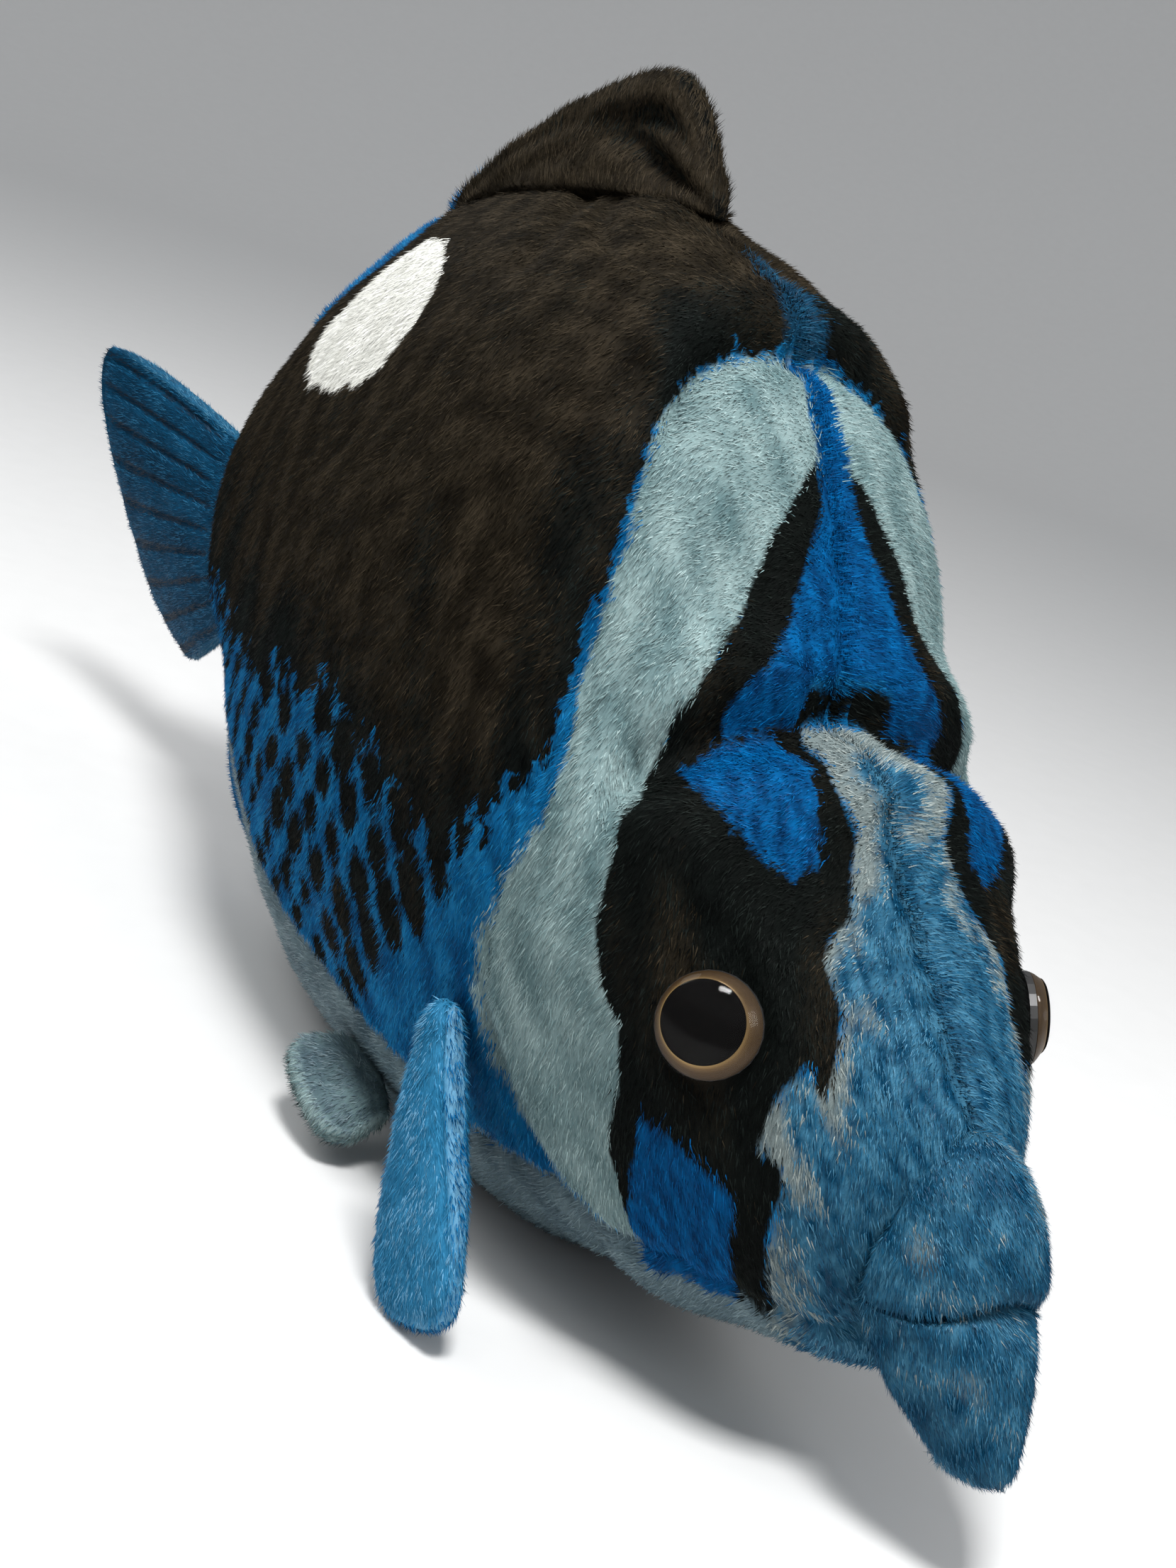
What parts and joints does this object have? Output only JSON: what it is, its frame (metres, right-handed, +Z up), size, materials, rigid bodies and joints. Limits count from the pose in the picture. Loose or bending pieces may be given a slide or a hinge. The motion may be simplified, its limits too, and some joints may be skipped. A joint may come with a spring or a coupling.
{
  "type": "plush fish",
  "caption": "Stuffed plush triggerfish with printed pile skin, belly gusset, padded fins and lips, and domed plastic safety eyes; it stands on its flat belly.",
  "frame": {"origin": "middle of the flat belly the toy stands on, at ground level, in the mirror plane; it is the belly_rest mount", "axes": "+Y from nose to tail, +Z up, +X to the fish's left"},
  "size_m": [0.1176, 0.367, 0.2101],
  "materials": {
    "right_back_print": "short dark brown pile",
    "left_back_print": "short dark brown pile",
    "face_print": "short pale grey-blue pile with printed bands",
    "belly_pile": "short pale grey-blue pile",
    "mottled_pile": "short mottled blue pile",
    "blue_pile": "short blue pile",
    "tail_pile": "short teal pile with paler edge",
    "spike_pile": "short dark brown pile",
    "filling": "loose polyester filling",
    "pouch_cloth": "plain woven cloth with pellets",
    "eye_dome": "clear polished plastic",
    "eye_iris": "metallic gold-brown paint",
    "eye_pupil": "polished black",
    "eye_back": "moulded black",
    "washer": "moulded off-white"
  },
  "bodies": {
    "fish_body": {"right_flank_skin": "right_back_print", "right_head_skin": "face_print", "right_eye_dome": "eye_dome", "right_eye_iris": "eye_iris", "right_eye_pupil": "eye_pupil", "right_eye_shank": "eye_back", "right_eye_washer": "washer", "left_flank_skin": "left_back_print", "left_head_skin": "face_print", "left_eye_dome": "eye_dome", "left_eye_iris": "eye_iris", "left_eye_pupil": "eye_pupil", "left_eye_shank": "eye_back", "left_eye_washer": "washer", "belly_gusset": "belly_pile", "body_stuffing": "filling", "head_stuffing": "filling", "pellet_pouch": "pouch_cloth", "muzzle_lining": "mottled_pile", "upper_lip": "mottled_pile", "lower_lip": "mottled_pile"},
    "tail_fin": {"tail_fin_left_face": "tail_pile", "tail_fin_right_face": "tail_pile", "tail_fin_batting": "filling"},
    "first_dorsal_fin": {"first_dorsal_fin_left_face": "spike_pile", "first_dorsal_fin_right_face": "spike_pile", "first_dorsal_fin_batting": "filling"},
    "second_dorsal_fin": {"second_dorsal_fin": "blue_pile"},
    "anal_fin": {"anal_fin": "blue_pile"},
    "right_pectoral_fin": {"right_pectoral_fin_outer_face": "blue_pile", "right_pectoral_fin_inner_face": "blue_pile", "right_pectoral_fin_batting": "filling"},
    "left_pectoral_fin": {"left_pectoral_fin_outer_face": "blue_pile", "left_pectoral_fin_inner_face": "blue_pile", "left_pectoral_fin_batting": "filling"},
    "right_pelvic_lobe": {"right_pelvic_lobe": "belly_pile"},
    "left_pelvic_lobe": {"left_pelvic_lobe": "belly_pile"}
  },
  "joints": [
    {"name": "tail_fin_sway", "type": "hinge", "parent": "fish_body", "child": "tail_fin", "pos_m": [0, 0.1516, 0.075], "axis": [0, 0.3872, 0.922], "range_deg": [-28, 28], "stiffness_Nm_per_rad": 0.02},
    {"name": "first_dorsal_fin_lean", "type": "hinge", "parent": "fish_body", "child": "first_dorsal_fin", "pos_m": [0, 0.057, 0.1775], "axis": [0, 0.9754, -0.2206], "range_deg": [-14, 14], "stiffness_Nm_per_rad": 0.03},
    {"name": "second_dorsal_fin_lean", "type": "hinge", "parent": "fish_body", "child": "second_dorsal_fin", "pos_m": [0, 0.10313, 0.16587], "axis": [0, 0.7609, -0.6488], "range_deg": [-15, 15], "stiffness_Nm_per_rad": 0.002},
    {"name": "anal_fin_lean", "type": "hinge", "parent": "fish_body", "child": "anal_fin", "pos_m": [0, 0.092, 0.01195], "axis": [0, 0.7857, 0.6186], "range_deg": [-18, 18], "stiffness_Nm_per_rad": 0.002},
    {"name": "right_pectoral_fin_flap", "type": "hinge", "parent": "fish_body", "child": "right_pectoral_fin", "pos_m": [-0.053, -0.044, 0.0475], "axis": [-0.0501, 0.881, -0.4705], "range_deg": [-6, 65], "stiffness_Nm_per_rad": 0.005},
    {"name": "left_pectoral_fin_flap", "type": "hinge", "parent": "fish_body", "child": "left_pectoral_fin", "pos_m": [0.053, -0.044, 0.0475], "axis": [-0.0501, -0.881, 0.4705], "range_deg": [-6, 65], "stiffness_Nm_per_rad": 0.005},
    {"name": "right_pelvic_lobe_lift", "type": "hinge", "parent": "fish_body", "child": "right_pelvic_lobe", "pos_m": [-0.0345, -0.004, 0.0125], "axis": [0.0506, 0.9514, 0.3036], "range_deg": [0, 30], "stiffness_Nm_per_rad": 0.002},
    {"name": "left_pelvic_lobe_lift", "type": "hinge", "parent": "fish_body", "child": "left_pelvic_lobe", "pos_m": [0.0345, -0.004, 0.0125], "axis": [0.0506, -0.9514, -0.3036], "range_deg": [0, 30], "stiffness_Nm_per_rad": 0.002}
  ]
}
